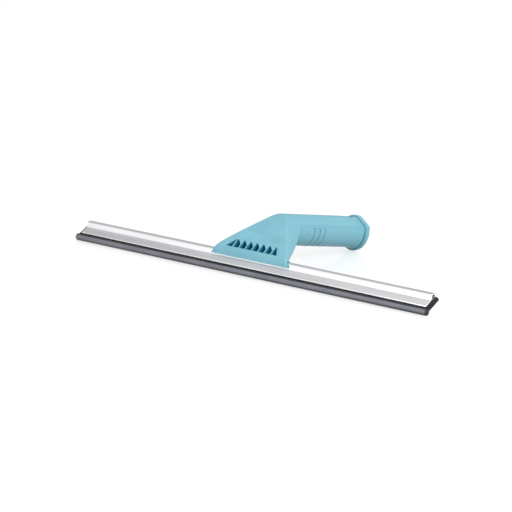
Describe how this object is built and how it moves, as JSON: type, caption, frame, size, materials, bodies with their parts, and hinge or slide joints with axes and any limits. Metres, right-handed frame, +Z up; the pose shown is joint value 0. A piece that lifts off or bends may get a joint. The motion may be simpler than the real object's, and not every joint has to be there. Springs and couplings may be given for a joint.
{
  "type": "window squeegee",
  "caption": "Window squeegee: rubber blade in an aluminium rail, clamped in a moulded triangular head with a sloping grip that ends in a pole socket.",
  "frame": {"origin": "on the table, under the middle of the whole object", "axes": "+X along the blade, +Y from the blade to the pole end, +Z up"},
  "size_m": [0.45, 0.1614, 0.0506],
  "materials": {
    "turquoise_plastic": "fine satin moulding",
    "dark_plastic": "satin moulding",
    "steel": "zinc plated",
    "aluminium": "bright extruded",
    "rubber": "smooth extruded"
  },
  "bodies": {
    "handle": {"upper_shell": "turquoise_plastic", "grip_shell": "turquoise_plastic", "pole_socket": "turquoise_plastic", "rail_saddle": "dark_plastic", "clamp_plate": "steel", "clamp_screw_left": "steel", "clamp_screw_right": "steel", "shell_screw_front": "steel", "shell_screw_rear": "steel", "release_spring": "steel"},
    "rail": {"rail": "aluminium"},
    "blade": {"rubber_blade": "rubber", "blade_clip_left": "steel", "blade_clip_right": "steel"},
    "button": {"release_button": "turquoise_plastic"}
  },
  "joints": [
    {"name": "rail_slide", "type": "slide", "parent": "handle", "child": "rail", "axis": [1, 0, 0], "range_m": [-0.174, 0.174]},
    {"name": "blade_slide", "type": "slide", "parent": "rail", "child": "blade", "axis": [1, 0, 0], "range_m": [0, 0.43]},
    {"name": "button_press", "type": "slide", "parent": "handle", "child": "button", "axis": [0, -0.1736, -0.9848], "range_m": [0, 0.0008], "stiffness_N_per_m": 800, "springref_m": -0.0005, "deforming": ["release_spring"]}
  ]
}
